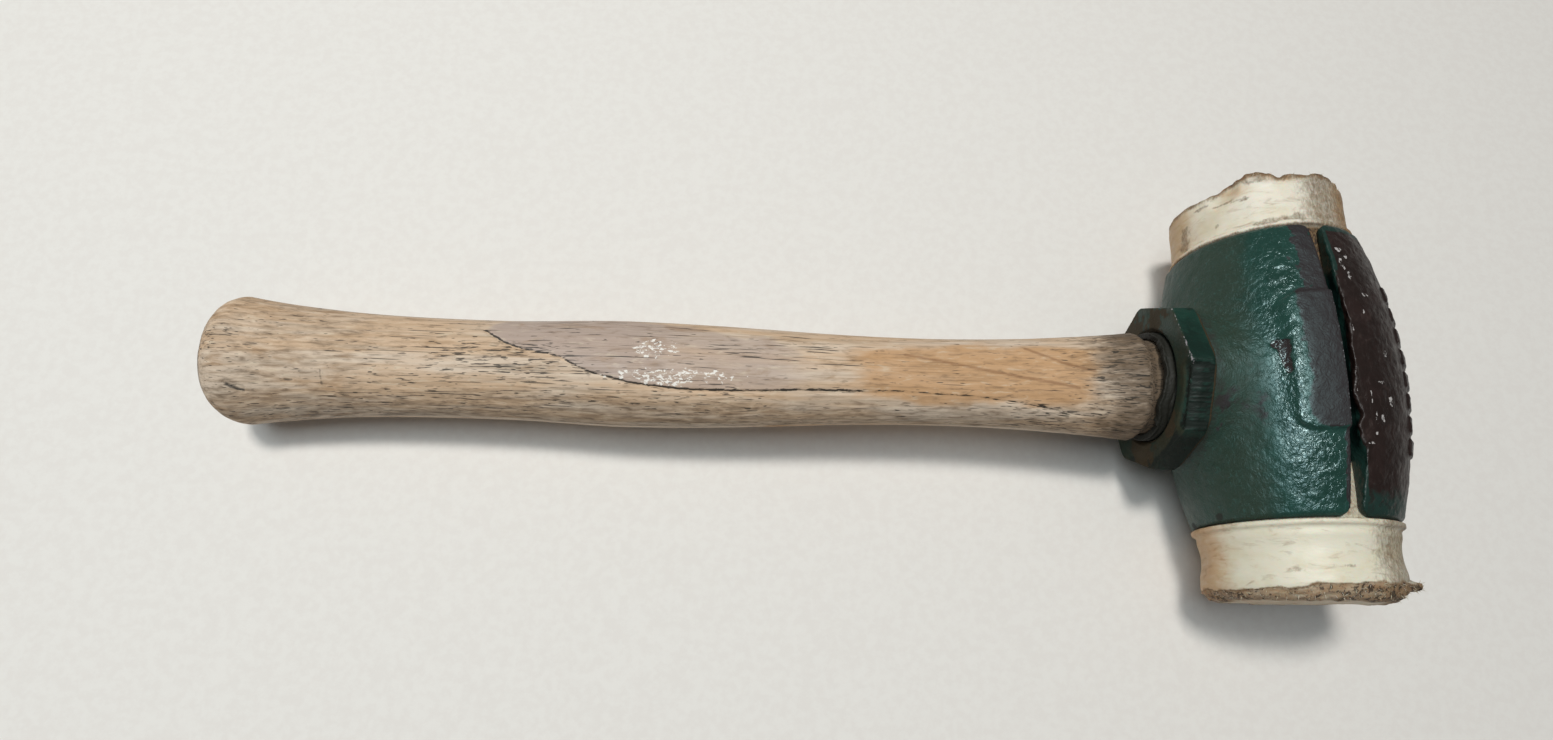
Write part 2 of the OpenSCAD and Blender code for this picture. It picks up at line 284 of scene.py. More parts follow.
# Gloss enamel brushed over rough cast iron: deep green with small wet highlights all over, lighter teal painted
# on the raised grain as a painted highlight, a purple undercoat where hands have rubbed through it, the undercoat
# colour also laid as painted shade low on the neck and on the nut's lower flats, and a dull film of dust where they
# haven't
def greenEnamel(name, look):
    masks = ("rubbedAndShaded", "dusty", "grimeAndShade", "chipped", "bright")
    material, tree, shader, place, painted = newMaterial(name, masks)
    made = addPatterns(tree, place, {"patch": ((14, 14, 14), 4.0, 0.0), "ragged": ((2.6, 2.6, 2.6), 5.0, 0.3),
                       "skin": (look["skin"], 2.0, 1.4), "grit": ((0.8, 0.8, 0.8), 2.0, 0.0)})
    patch, ragged, skin, grit = made["patch"], made["ragged"], made["skin"], made["grit"]
    base = addNode(tree, "ShaderNodeRGB")
    base.outputs[0].default_value = linear(look["green"])
    colour = layOver(tree, base, (
        (None, patch, 1.0, 0.35, 0.7, 0.8, look["teal"]),
        (painted["dusty"], ragged, 0.7, 0.55, 1.25, 0.85, look["dust"]),
        # Painted highlight: pale teal is laid on the raised points of the skin grain
        (None, skin, 1.0, 0.55, 0.75, 0.3, look["pale"]),
        (painted["rubbedAndShaded"], ragged, 0.9, 0.8, 1.05, 0.95, look["undercoat"]),
        (painted["grimeAndShade"], ragged, 0.9, 0.75, 1.15, 0.9, look["dirtAndShade"]),
        (painted["chipped"], grit, 0.4, 0.6, 0.85, 1.0, look["iron"]),
        (painted["bright"], grit, 1.6, 1.45, 1.7, 0.9, look["metal"])))
    dress(tree, shader, colour, (patch, look["gloss"], look["gloss"] + 0.08),
          ((painted["dusty"], 0.3), (painted["rubbedAndShaded"], 0.36), (painted["grimeAndShade"], 0.3)),
          ((skin, look["skinBump"], look["skinDepth"]), (grit, 0.25, 0.12)))
    shader.inputs["Specular IOR Level"].default_value = look["shine"]
    shader.inputs["Specular Tint"].default_value = linear(look["sheen"])
    shader.inputs["Coat Roughness"].default_value = 0.2
    coat = addNode(tree, "ShaderNodeMath", {"operation": "MULTIPLY_ADD", 1: -0.8, 2: look["coat"]},
                   {0: painted["rubbedAndShaded"]})
    coat = addNode(tree, "ShaderNodeMath", {"operation": "MULTIPLY_ADD", 1: -0.8, "use_clamp": True},
                   {0: painted["dusty"], 2: coat})
    tree.links.new(coat.outputs[0], shader.inputs["Coat Weight"])
    tree.links.new(shader.inputs["Normal"].links[0].from_socket, shader.inputs["Coat Normal"])
    return material


# Cast iron under dark rubbed undercoat: purple black, torn and pitted, bright where metal shows
def rubbedIron(look):
    masks = ("painted", "dusty", "grimeAndShade", "bright")
    material, tree, shader, place, painted = newMaterial("rubbed undercoat on cast iron", masks)
    made = addPatterns(tree, place, {"patch": ((8, 8, 8), 5.0, 0.4), "torn": ((2.4, 3.4, 2.4), 4.0, 0.8),
                       "pits": ((1.0, 1.3, 1.0), 2.0, 0.6), "sparks": ((0.8, 1.3, 0.8), 2.0, 0.3)})
    patch, torn, pits = made["patch"], made["torn"], made["pits"]
    base = addNode(tree, "ShaderNodeRGB")
    base.outputs[0].default_value = linear(look["undercoat"])
    colour = layOver(tree, base, (
        (None, patch, 1.0, 0.4, 0.7, 0.8, look["purple"]),
        (None, torn, 1.0, 0.56, 0.72, 0.5, look["scuffed"]),
        (painted["dusty"], patch, 0.7, 0.6, 1.1, 0.8, look["olive"]),
        (painted["painted"], torn, 0.7, 0.7, 0.95, 1.0, look["green"]),
        (painted["grimeAndShade"], torn, 0.9, 0.75, 1.15, 0.9, look["dirtAndShade"]),
        (painted["bright"], made["sparks"], 2.0, 1.92, 2.08, 0.95, look["metal"])))
    dress(tree, shader, colour, (torn, 0.34, 0.52), ((painted["dusty"], 0.15), (painted["grimeAndShade"], 0.3)),
          ((torn, 0.55, 0.6), (pits, 0.35, 0.3)))
    shader.inputs["Specular IOR Level"].default_value = look["shine"]
    return material


# Cast nylon, hammered: ivory and faintly translucent, tan where oil has soaked in and as painted warm bounce light on
# the side towards the butt, with brown dirt in its frayed edges, and dirt laid as painted shade, partly real dirt, on
# the side towards the crown and in the split of the lower face
def castNylon(look):
    masks = ("stainAndBounceLight", "grimeAndShade", "frayed")
    material, tree, shader, place, painted = newMaterial("battered cast nylon", masks)
    made = addPatterns(tree, place, {"cloud": ((12, 9, 12), 4.0, 0.3), "smear": ((6, 1.9, 6), 5.0, 0.6),
                       "fibre": ((0.9, 1.8, 0.9), 4.0, 0.8)})
    cloud, smear, fibre = made["cloud"], made["smear"], made["fibre"]
    base = addNode(tree, "ShaderNodeRGB")
    base.outputs[0].default_value = linear(look["ivory"])
    colour = layOver(tree, base, (
        (None, cloud, 1.0, 0.42, 0.75, 0.7, look["cream"]),
        (painted["stainAndBounceLight"], smear, 0.9, 0.5, 1.5, 0.85, look["tan"]),
        (None, smear, 1.0, 0.53, 0.76, 0.45, look["brown"]),
        (painted["frayed"], smear, 0.9, 0.6, 1.45, 0.75, look["brown"]),
        (painted["grimeAndShade"], fibre, 1.1, 0.75, 1.6, 0.85, look["dirtAndShade"]),
        (painted["frayed"], fibre, 1.8, 1.82, 2.05, 0.85, look["black"])))
    dress(tree, shader, colour, (smear, 0.42, 0.6), ((painted["frayed"], 0.2), (painted["grimeAndShade"], 0.15)),
          ((smear, 0.25, 0.5), (fibre, 0.2, 0.2)))
    shader.inputs["Subsurface Weight"].default_value = look["glow"]
    shader.inputs["Subsurface Scale"].default_value = look["glowReach"] * mm
    return material


# Ash, turned and left to weather without oil: silver and tan, with dark open checks along the grain,
# grey patina rubbed off to bare warm wood ahead of the head
def weatheredAsh(look):
    masks = ("crack", "figure", "checked", "grooved", "bare", "plum", "fleck", "grimeAndShade", "endGrain", "nick")
    material, tree, shader, place, painted = newMaterial("weathered turned ash", masks)
    made = addPatterns(tree, place, {
        "fibre": ((40, 0.6, 0.6), 5.0, 0.0), "streak": ((55, 2.2, 2.2), 4.0, 0.2),
        "wide": ((70, 7, 7), 3.0, 0.0), "blotch": ((16, 5, 5), 5.0, 0.6), "mottle": ((5.5, 1.2, 1.2), 5.0, 0.5),
        "shortCheck": ((4.2, 0.48, 0.48), 1.5, 0.25), "longCheck": ((28, 0.55, 0.55), 1.5, 0.05),
        "broken": ((3, 0.8, 0.8), 3.0, 0.3), "specks": ((1.3, 0.7, 0.7), 3.0, 0.4)})
    fibre, streak, wide, blotch = (made[name] for name in ("fibre", "streak", "wide", "blotch"))
    mottle = made["mottle"]
    shortCheck, longCheck, broken = (made[name] for name in ("shortCheck", "longCheck", "broken"))
    turned = addNode(tree, "ShaderNodeMapping", {"Location": look["pith"], "Rotation": look["slope"]},
                     {"Vector": place})
    rings = addNode(tree, "ShaderNodeTexWave", {"wave_type": "RINGS", "rings_direction": "X",
                    "Scale": 0.05 * math.pi / (look["ringMm"] * mm) * 2, "Distortion": 3.0, "Detail": 3.0,
                    "Detail Scale": 0.3}, {"Vector": turned})
    base = addNode(tree, "ShaderNodeRGB")
    base.outputs[0].default_value = linear(look["tan"])
    colour = layOver(tree, base, (
        (None, wide, 1.0, 0.38, 0.62, 0.8, look["silver"]),
        (None, rings, 1.0, 0.6, 1.0, 0.2, look["brown"]),
        (None, streak, 1.0, 0.5, 0.7, 0.5, look["grey"]),
        (painted["plum"], blotch, 0.5, 0.45, 1.05, 0.85, look["plum"]),
        (painted["bare"], blotch, 0.9, 0.75, 1.45, 0.8, look["bare"]),
        (None, blotch, 1.0, 0.52, 0.72, 0.5, look["brown"]),
        (None, mottle, -1.0, -0.45, -0.3, 0.4, look["pale"]),
        (None, mottle, 1.0, 0.53, 0.72, 0.38, look["dark"]),
        (None, fibre, 1.0, 0.5, 0.75, 0.5, look["dark"]),
        (painted["figure"], broken, 0.3, 0.9, 1.12, 0.55, look["figure"]),
        (painted["endGrain"], broken, 0.8, 0.8, 1.3, 0.75, look["endGrain"]),
        (painted["grimeAndShade"], mottle, 1.2, 0.7, 1.5, 0.85, look["dirtAndShade"]),
        (painted["checked"], shortCheck, 8.0, 5.4, 5.8, 0.85, look["check"]),
        (painted["grooved"], longCheck, 9.0, 6.35, 6.8, 0.85, look["check"]),
        (painted["crack"], broken, 0.4, 1.09, 1.15, 0.95, look["check"]),
        (painted["nick"], mottle, 0.4, 0.85, 1.1, 0.95, look["check"]),
        (painted["fleck"], made["specks"], 3.0, 2.5, 2.75, 0.95, look["fleck"])))
    dress(tree, shader, colour, (fibre, 0.62, 0.85), ((painted["plum"], -0.14), (painted["grimeAndShade"], 0.1)),
          ((fibre, 0.4, 0.3), (mottle, 0.3, 0.3), (shortCheck, -0.35, 0.35), (streak, 0.2, 0.4)))
    return material


# Plain sawn hardwood, and dull forged steel with brown stains
def wedgeFinish(name, sizes, first, second, metal):
    material, tree, shader, place, painted = newMaterial(name)
    grain = addPatterns(tree, place, {"grain": (sizes, 5.0, 0.2)})["grain"]
    base = addNode(tree, "ShaderNodeRGB")
    base.outputs[0].default_value = linear(first)
    colour = layOver(tree, base, ((None, grain, 1.0, 0.35, 0.65, 1.0, second),))
    dress(tree, shader, colour, (grain, 0.45, 0.65), (), ((grain, 0.3, 0.2),))
    shader.inputs["Metallic"].default_value = metal
    return material


# The half head on the handle's side: a rough casting whose neck flows into the barrel
rearHalf = {
    "voxel": 0.42, "softening": 3, "filletRounds": 320, "padRounds": 10, "swell": 0.5, "lump": 0.4,
    "chipDepth": 0.45, "green": "#19362e", "teal": "#21443c", "pale": "#3a625c", "dust": "#283123",
    "undercoat": "#2b1d1f", "dirtAndShade": "#272119", "iron": "#2c2221", "metal": "#85878a", "gloss": 0.22,
    "skin": (1.2, 1.7, 1.2), "skinBump": 1.0, "skinDepth": 0.24, "sheen": "#b8dde1", "shine": 0.72, "coat": 0.25,
    "chip": ((-16.6, 4.7), (-15.4, 4.9), (-15.2, 3.0), (-15.4, 1.0), (-15.1, -1.2), (-15.0, -3.4)),
    "rubs": ((-4.0, 42, 26, 3.5, 5, 4), (-4.2, 31, 29, 4.4, 12, 5), (-28.5, -12, 10, 3.5, 8, 8),
             (-2.0, -30, 29, 1.4, 14, 4)),
    "soil": ((-25.9, -41.7, 7.4, 1.2, 1.2, 1.2), (-26, -42.5, -7, 2, 1, 3)),
}


def makeRearHalf():
    look = rearHalf
    piece = fineCopy("rear_half", "rearHalf", look)
    p = readPoints(piece.data)
    offSplit = ramp(p[:, 0], -3, -5)
    overNeck = ramp(p[:, 0], -13, -17) * ramp(p[:, 0], -mallet["seatX"], -mallet["seatX"] + 1) \
        * ramp(handleRadius(p), 20.5, 22.5) * ramp(handleRadius(p), 37, 31)
    overPadEdge = (p[:, 2] > 15) * ramp(p[:, 0], -19, -16) * ramp(np.abs(p[:, 1]), 24, 22) \
        * np.maximum(ramp(np.abs(p[:, 1]), 17, 19), ramp(p[:, 0], -11, -13))
    relax(piece, offSplit * overNeck, look["filletRounds"])
    relax(piece, offSplit * overPadEdge, look["padRounds"])
    p, n = readPoints(piece.data), readNormals(piece.data)
    outside = ramp(headRadius(p), 25.4, 26.4) * ramp(p[:, 0], -2.2, -3.4) \
        * ramp(p[:, 0], -mallet["seatX"] + 0.2, -mallet["seatX"] + 1.2) * ramp(np.abs(p[:, 1]), 43.3, 42.3)
    chip = ramp(fromLine(p, look["chip"]) + (layeredNoise(p, 1.5, 5) - 0.5) - 0.5 * ramp(p[:, 1], 0, 4),
                1.1, 0.5)
    p = p + n * (outside * ((layeredNoise(p, 12, 3) - 0.5) * look["swell"]
                 + (layeredNoise(p, 2.1, 4, 2) - 0.5) * look["lump"]) - chip * look["chipDepth"])[:, None]
    writePoints(piece.data, p)
    bore = ramp(handleRadius(p), 18.5, 17.5)
    ragged = (layeredNoise(p, 5, 10) - 0.5) * 5
    onPad = (p[:, 2] > 20) * ramp(p[:, 0] + ragged, -13, -8) * ramp(np.abs(p[:, 1] - 0.8) + ragged * 0.3, 21.5, 19)
    splitEdge = ramp(p[:, 0], -2.9, -2.3) * ramp(headRadius(p), 25, 27)
    dusty = ramp(headAngle(p), 116, 140) * ramp(headAngle(p), 300, 270)
    # Painted shade: onNeck darkens the lower part of the neck with the undercoat colour, partly paint worn thin and
    # partly the shade on the neck's lower side
    onNeck = ramp(p[:, 0], -17, -21) * ramp(p[:, 1] - 0.8 * p[:, 0], 23, 15) \
        * ramp(p[:, 1] + 0.5 * p[:, 0], -35, -27) * (p[:, 2] > 8)
    paint(piece.data, {
        "rubbedAndShaded": np.maximum.reduce([onPad, splitEdge * 0.7, spots(p, look["rubs"], 6) * 0.85,
                                     onNeck * (0.1 + 0.6 * layeredNoise(p, 5, 16))]) - bore,
        "dusty": dusty * (0.55 + 0.45 * layeredNoise(p, 9, 8)),
        "grimeAndShade": np.maximum.reduce([ramp(np.abs(p[:, 1]), 42.8, 43.5) * 0.7, spots(p, look["soil"], 11),
                                    ramp(p[:, 0], -27, -32) * 0.55]) + bore,
        "chipped": chip, "bright": splitEdge * ramp(np.abs(p[:, 1]), 24, 18) * 0.6})
    finishPiece(piece, greenEnamel("green enamel on cast iron", look), "rear", "rear_half")


# The half head at the crown: its split edge is hammered over into the gap, its face torn and rubbed
frontHalf = {
    "voxel": 0.42, "softening": 2, "swell": 0.5, "torn": 0.5, "fine": 0.22, "barSink": 0.45,
    "undercoat": "#1d120e", "purple": "#291b18", "scuffed": "#392a26", "olive": "#232016",
    "green": "#16302a", "dirtAndShade": "#1b1710", "metal": "#b4b0ae", "shine": 0.4,
    "edge": ((-43.5, -0.2), (-39, -0.5), (-30, 0.2), (-26, 0.4), (-23, -0.6), (-19.3, -1.2), (-16.5, 0.1),
             (-13, -1.0), (-9.7, -2.0), (-6, -1.2), (-1, -0.6), (3.2, -0.8), (7, -0.3), (10.7, 0.1),
             (17, -0.6), (27, -0.7), (37, -0.5), (43.5, 0.0)),
    "bright": ((4.5, 34.1, 28.4, 1.5, 1.2, 2), (6.4, 32.2, 28.3, 1.2, 1.5, 2), (4.2, 29.0, 29.3, 0.9, 2.4, 2),
               (5.6, 25.2, 29.9, 0.7, 1.8, 2), (9.5, 19.6, 29.6, 1.5, 0.9, 2), (0.9, -9.7, 31.8, 0.5, 1.0, 1.5),
               (8.5, -6.9, 31.0, 1.5, 0.8, 2), (11.6, -12.2, 29.4, 1.0, 1.6, 2), (8.3, -16.9, 30.1, 0.9, 1.2, 2),
               (5.0, -11.5, 31.2, 0.45, 3.0, 2), (6.0, -17.2, 30.6, 0.45, 1.8, 2), (3.9, -24.0, 30.2, 1.1, 0.5, 2),
               (5.9, -21.2, 30.2, 0.8, 0.6, 2), (2.5, 8.0, 31.6, 0.45, 2.4, 2), (12.0, 2.0, 29.5, 0.7, 1.1, 2),
               (7.0, 14.0, 30.5, 0.6, 0.9, 2)),
}


def makeFrontHalf():
    look = frontHalf
    piece = fineCopy("front_half", "frontHalf", look)
    p, n = readPoints(piece.data), readNormals(piece.data)
    depth = barrelRadius(p[:, 1]) - headRadius(p)
    edgeY, edgeX = np.array(look["edge"]).T
    turnedOver = ramp(depth, 4.5, 0.3) * ramp(p[:, 0], 6.5, 2.2) * (p[:, 2] > 8) * (np.abs(p[:, 1]) < 43.4)
    ragged = np.interp(p[:, 1], edgeY, edgeX) + (layeredNoise(p, 1.6, 12, 2) - 0.5) * 0.9
    p[:, 0] += turnedOver * ragged
    outside = ramp(headRadius(p), 25.4, 26.4) * ramp(p[:, 0], 0.2, 2.6) * ramp(np.abs(p[:, 1]), 43.3, 42.3)
    up = ramp(p[:, 2], 4, 16)
    raised = np.maximum(headRadius(p) - barrelRadius(p[:, 1]) - 0.1, 0) * (p[:, 0] > 10)
    p[:, [0, 2]] *= (1 - look["barSink"] * raised / headRadius(p))[:, None]
    p = p + n * (outside * ((layeredNoise(p, 9, 7) - 0.5) * look["swell"]
                 + (layeredNoise(p, 3.4, 13) - 0.5) * look["torn"] * (0.4 + 0.6 * up)
                 + (layeredNoise(p, 1.3, 14, 2) - 0.5) * look["fine"]))[:, None]
    writePoints(piece.data, p)
    splitWall = ramp(headRadius(p), 31, 29) * ramp(p[:, 0], 3.0, 2.2)
    stem = ramp(p[:, 0], -1, -3)
    topBand = ramp(p[:, 1], 39.5, 42)
    lowBand = ramp(p[:, 1], -29, -40) * 0.55
    rightSide = ramp(headAngle(p), 48, 20) * 0.4
    paint(piece.data, {
        "painted": np.maximum.reduce([splitWall, stem, topBand, lowBand]),
        "dusty": np.maximum(rightSide, topBand * 0.5),
        "grimeAndShade": np.maximum(ramp(np.abs(p[:, 1]), 42.8, 43.5) * 0.6, ramp(p[:, 0], -37.5, -40.5) * 0.8),
        "bright": spots(p, look["bright"], 15, 0.5)})
    finishPiece(piece, rubbedIron(look), "front", "front_half")


# The eight-sided nut: enamelled, dirty on its face, one edge worn white and one flat chewed by tools
clampNut = {
    "voxel": 0.3, "softening": 3, "swell": 0.2, "lump": 0.1, "rounding": 0.9, "scoreDepth": 0.1,
    "green": "#0d241d", "teal": "#163b31", "pale": "#1e4338", "dust": "#332f1c", "undercoat": "#04120b",
    "dirtAndShade": "#3a2e1b", "iron": "#2a211d", "metal": "#8d888b", "gloss": 0.34, "skin": (2.4, 1.6, 1.6),
    "skinBump": 0.25, "skinDepth": 0.5, "sheen": "#ffffff", "shine": 0.35, "coat": 0.0,
    "soil": ((-40.5, 17, 8, 2, 6, 6), (-40.5, 21, -4, 2, 5, 7), (-40.5, -20, -6, 2, 7, 7),
             (-40.5, -15, 12, 2, 4, 4)),
}


def makeNut():
    look = clampNut
    piece = fineCopy("clamp_nut", "clampNut", look)
    p, n = readPoints(piece.data), readNormals(piece.data)
    around = np.degrees(np.arctan2(p[:, 1], p[:, 2]))  # 0 up, 90 towards the upper face
    outer = ramp(handleRadius(p), 21.5, 23.5)
    chewed = outer * ramp(around, -50, -42) * ramp(around, 1, -4)
    front = ramp(p[:, 0], -36.5, -40.5)
    scores = (latticeNoise(p * [0.12, 1, 1], 0.55, 22) - 0.5) * 2
    p = p - n * (chewed * (front * look["rounding"] + scores * look["scoreDepth"]))[:, None]
    p = p + n * (outer * ((layeredNoise(p, 6, 17) - 0.5) * look["swell"]
                 + (layeredNoise(p, 1.4, 18) - 0.5) * look["lump"]))[:, None]
    writePoints(piece.data, p)
    face = ramp(p[:, 0], -39.6, -40.3)
    wornEdge = ramp(np.abs(p[:, 0] + 40.25) + 0.5 * layeredNoise(p, 1.2, 23), 0.6, 0.3) \
        * ramp(handleRadius(p), 24.2, 24.7) * ramp(around, -6, -2) * ramp(around, 49, 44)
    smudge = 0.6 * spots(p, ((-39.8, -0.6, 26, 1.2, 1.0, 1.2),), 24, 0.8)
    bore = ramp(handleRadius(p), 18.6, 17.6)
    scored = chewed * (0.5 + 0.45 * ramp(scores, -0.2, 0.5))
    # Painted shade: the lower flats are darkened with the near black undercoat colour
    shaded = outer * ramp(around, -40, -55) * ramp(around, -140, -120) * 0.6
    paint(piece.data, {
        "rubbedAndShaded": np.maximum.reduce([ramp(handleRadius(p), 25.8, 26.4) * 0.4, scored, shaded]),
        "dusty": face * 0.9 * layeredNoise(p, 7, 19) + ramp(around, -100, -60) * ramp(around, -30, -50) * 0.3,
        "grimeAndShade": np.maximum.reduce([bore * 0.9, spots(p, look["soil"], 21, 0.9) * face * 0.9,
                                    ramp(p[:, 0], -34, -33.4) * 0.8]),
        "chipped": 0 * face, "bright": np.maximum(wornEdge, smudge)})
    finishPiece(piece, greenEnamel("green enamel on the nut", look), "nut", "clamp_nut")


# Short curled hairs of torn nylon, each a tapering tube, on chosen points of a face
def addFray(name, roots, normals, look, body, node):
    rng = np.random.default_rng(look["fraySeed"])
    rings, sides = 5, 3
    points, faces = [], []
    for root, normal in zip(roots, normals):
        length = rng.uniform(*look["frayLength"])
        radius = rng.uniform(*look["frayRadius"])
        course = normal + rng.normal(0, 0.55, 3)
        curl = rng.normal(0, 0.8, 3)
        centre = root - normal * 0.3
        first = len(points)
        for k in range(rings):
            t = k / (rings - 1)
            heading = course + curl * t
            heading = heading / np.linalg.norm(heading)
            if k:
                centre = centre + heading * length / (rings - 1)
            across = np.cross(heading, [0.3, 0.5, 0.8])
            across = across / np.linalg.norm(across)
            beside = np.cross(heading, across)
            for s in range(sides):
                a = 2 * math.pi * s / sides
                wide = radius * (1.05 - t)
                points.append(centre + wide * (across * math.cos(a) + beside * math.sin(a)))
        for k in range(rings - 1):
            for s in range(sides):
                at, beyond = first + k * sides, first + (k + 1) * sides
                faces.append((at + s, at + (s + 1) % sides, beyond + (s + 1) % sides, beyond + s))
        faces.append(tuple(first + s for s in reversed(range(sides))))
        faces.append(tuple(first + (rings - 1) * sides + s for s in range(sides)))
    mesh = bpy.data.meshes.new(name)
    mesh.from_pydata((np.array(points) * mm).tolist(), [], faces)
    mesh.update()
    piece = addObject(name, mesh)
    p = readPoints(mesh)
    paint(mesh, {"grimeAndShade": ramp(latticeNoise(p, 2.5, 61), 0.45, 0.8) * 0.5,
                 "frayed": 0 * p[:, 0], "stainAndBounceLight": 0.4 + 0 * p[:, 0]})
    finishPiece(piece, nylonFinish[look["finish"]], body, node)


def pickRoots(p, n, chance, count, seed):
    rng = np.random.default_rng(seed)
    chosen = rng.choice(len(p), count, replace=False, p=chance / chance.sum())
    return p[chosen], n[chosen]


# The upper face: hammered down, a scoop broken out of its edge and a burr raised beside it
upperFace = {
    "voxel": 0.5, "softening": 2, "swell": 0.9, "dents": 0.4, "burr": 0.9, "notch": 0.8, "beaten": 0.9,
    "lift": 1.4,
    # tan is partly oil stain and partly painted warm bounce light on the side towards the butt
    "ivory": "#dfd9c9", "cream": "#cdc0a2", "tan": "#ba9566", "brown": "#87694a", "dirtAndShade": "#604626",
    "black": "#2a211a", "glow": 0.18, "glowReach": 3.0, "finish": "upper",
    "stains": ((-17, 58.0, 17.5, 5, 3.5, 5), (-6, 60.5, 23.5, 11, 2.0, 4)),
    # The first three soil spots draw a brown line along the scoop's lower border: partly dirt, partly painted shade
    # where the surface turns away
    "soil": ((-22.5, 57.4, 9.9, 2.5, 0.6, 3), (-19, 55.8, 15, 3, 0.6, 3), (-15.8, 55.0, 18.8, 2.5, 0.6, 2.5),
             (-12.5, 60.0, 21.2, 3.0, 1.2, 2.5), (-3, 46.2, 24, 5, 1.6, 3), (-10, 45.8, 22, 5, 1.3, 3),
             (-20.5, 48.9, 13.6, 0.7, 0.9, 1), (-24, 50, 2, 1.5, 4, 3), (2, 60.8, 24.4, 2.2, 0.8, 1.5),
             (-7, 60.6, 23.5, 3.5, 0.7, 2), (21, 47, 13, 3, 3, 5), (11, 60.5, 21, 5, 1.0, 4)),
    "fraySeed": 71, "frayCount": 90, "frayLength": (0.5, 1.5), "frayRadius": (0.06, 0.13),
}


def makeUpperFace():
    look = upperFace
    piece = fineCopy("upper_face", "upperFace", look)
    p, n = readPoints(piece.data), readNormals(piece.data)
    shown = ramp(p[:, 1], 44.2, 46)
    angle = headAngle(p)
    rim = ramp(p[:, 1], 57.5, 60.5) * ramp(headRadius(p), 19, 23)
    burr = rim * ramp(angle, 107, 111) * ramp(angle, 129, 124)
    notch = rim * ramp(angle, 100, 103) * ramp(angle, 108, 105)
    flake = rim * ramp(angle, 60, 66) * ramp(angle, 84, 78)
    beaten = ramp(p[:, 1], 53, 60) * ramp(angle, 128, 138) * ramp(angle, 176, 160) * ramp(headRadius(p), 17, 21)
    lift = ramp(p[:, 1], 50, 57) * ramp(angle, 112, 121) * ramp(angle, 147, 136) * ramp(headRadius(p), 13, 20)
    p[:, 1] += lift * look["lift"] * (0.6 + 0.8 * layeredNoise(p, 2.5, 38))
    p = p + n * (shown * ((layeredNoise(p, 9, 31) - 0.5) * look["swell"]
                 + (layeredNoise(p, 2.2, 32) - 0.5) * look["dents"] * (0.35 + rim))
                 + burr * look["burr"] * (0.75 + 0.5 * layeredNoise(p, 2.0, 33)) - notch * look["notch"]
                 + flake * 0.7 - beaten * look["beaten"]
                 + rim * (layeredNoise(p, 2.6, 34) - 0.5) * 0.6)[:, None]
    writePoints(piece.data, p)
    struck = ramp(p[:, 1], 60.4, 61.3)
    # The nylon inside the split is made darker and frayed black
    inSplit = ramp(p[:, 1], 43.6, 42.6)
    side = ramp(headRadius(p), 20.5, 23)
    towardsCrown, towardsButt = side * ramp(angle, 0, 40), side * ramp(angle, 146, 188) * ramp(angle, 320, 230)
    # Painted shade: the side towards the crown is darkened with the tan and dirt colours, partly stain and dirt and
    # partly the shade away from the lamp
    paint(piece.data, {
        "stainAndBounceLight": np.maximum.reduce([spots(p, look["stains"], 35, 0.9, 0.85) * 0.7, struck * 0.5,
                                      towardsButt * 0.95, towardsCrown * ramp(angle, 80, 50)]),
        "grimeAndShade": np.maximum.reduce([ramp(p[:, 1] + 1.2 * layeredNoise(p, 2, 36), 45.6, 44.3) * 0.85,
                                    spots(p, look["soil"], 37, 0.9, 0.4) * 0.7, struck * 0.35, inSplit,
                                    towardsCrown * ramp(angle, 108, 80) * 0.75,
                                    rim * ramp(angle, 58, 75) * (0.5 + 0.8 * layeredNoise(p, 3, 39)), flake]),
        "frayed": np.maximum.reduce([rim * ramp(p[:, 1], 60.0, 61.2) * 0.75, inSplit, flake])})
    finishPiece(piece, nylonFinish["upper"], "upper", "upper_face")
    edge = ramp(p[:, 1], 59.5, 61) * ramp(headRadius(p), 22, 23.5) * (0.15 + ramp(p[:, 2], -5, 10))
    roots, normals = pickRoots(p, n, edge, look["frayCount"], look["fraySeed"])
    addFray("upperFray", roots, normals, look, "upper", "upper_face")


# The lower face: pinched at its waist, its rim spread by blows and frayed into a brown ragged band
lowerFace = {
    "voxel": 0.5, "softening": 2, "swell": 0.8, "flakes": 1.3, "tufts": 0.8, "burr": 2.3,
    # tan is partly oil stain and partly painted warm bounce light on the side towards the butt
    "ivory": "#dcd7c4", "cream": "#ccc2a2", "tan": "#bd9262", "brown": "#80603e", "dirtAndShade": "#624828",
    "black": "#2a2019", "glow": 0.18, "glowReach": 3.0, "finish": "lower",
    "soil": ((8.9, -52.7, 22.9, 0.8, 0.8, 1), (-13, -57.5, 20, 4, 0.7, 3), (-4, -56.5, 24, 3.5, 0.5, 2),
             (6, -59, 23.5, 5, 1.2, 3), (18, -50, 17, 3, 4, 4), (-23.8, -44.6, 6, 2, 0.9, 4)),
    "border": ((0, 61.0), (60, 60.2), (110, 61.4), (161, 63.4), (190, 62.0), (300, 61.0)),
    "fraySeed": 81, "frayCount": 300, "frayLength": (0.5, 1.9), "frayRadius": (0.06, 0.14),
}


